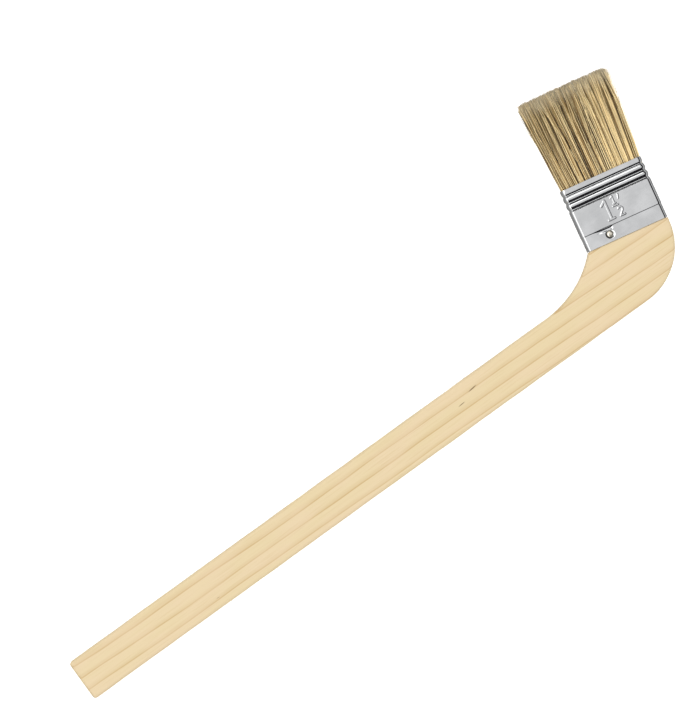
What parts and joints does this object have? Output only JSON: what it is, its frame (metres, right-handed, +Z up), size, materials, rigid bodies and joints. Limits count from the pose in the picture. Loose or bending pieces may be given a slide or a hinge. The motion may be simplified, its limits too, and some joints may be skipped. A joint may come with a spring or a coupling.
{
  "type": "angled flat brush",
  "caption": "Flat bristle brush with a long board handle whose bent end carries the ferrule and bristles almost square to the grip.",
  "frame": {"origin": "under the middle of the brush's bounding box, on the surface that it lies on", "axes": "+X along the grip towards the head, +Y the side that the bristles point to, +Z up through the thickness"},
  "size_m": [0.344, 0.1034, 0.0114],
  "materials": {
    "pine": "sanded, unvarnished",
    "tinplate": "bright tinned sheet",
    "nail_steel": "bright",
    "resin": "cured resin",
    "card": "raw",
    "hair": "natural hog bristle"
  },
  "bodies": {
    "handle_and_ferrule": {"handle": "pine", "ferrule": "tinplate", "ferrule_nail_front": "nail_steel", "ferrule_nail_back": "nail_steel", "glue_setting": "resin", "filler_strip": "card", "bristle_roots_front": "hair", "bristle_roots_back": "hair"},
    "free_bristles": {"bristles_front": "hair", "bristles_back": "hair"}
  },
  "joints": [
    {"name": "bristle_flex", "type": "hinge", "parent": "handle_and_ferrule", "child": "free_bristles", "pos_m": [0.14352, 0.00997, 0.0057], "axis": [0.9799, -0.1994, 0], "range_deg": [0, 40], "stiffness_Nm_per_rad": 0.12}
  ]
}
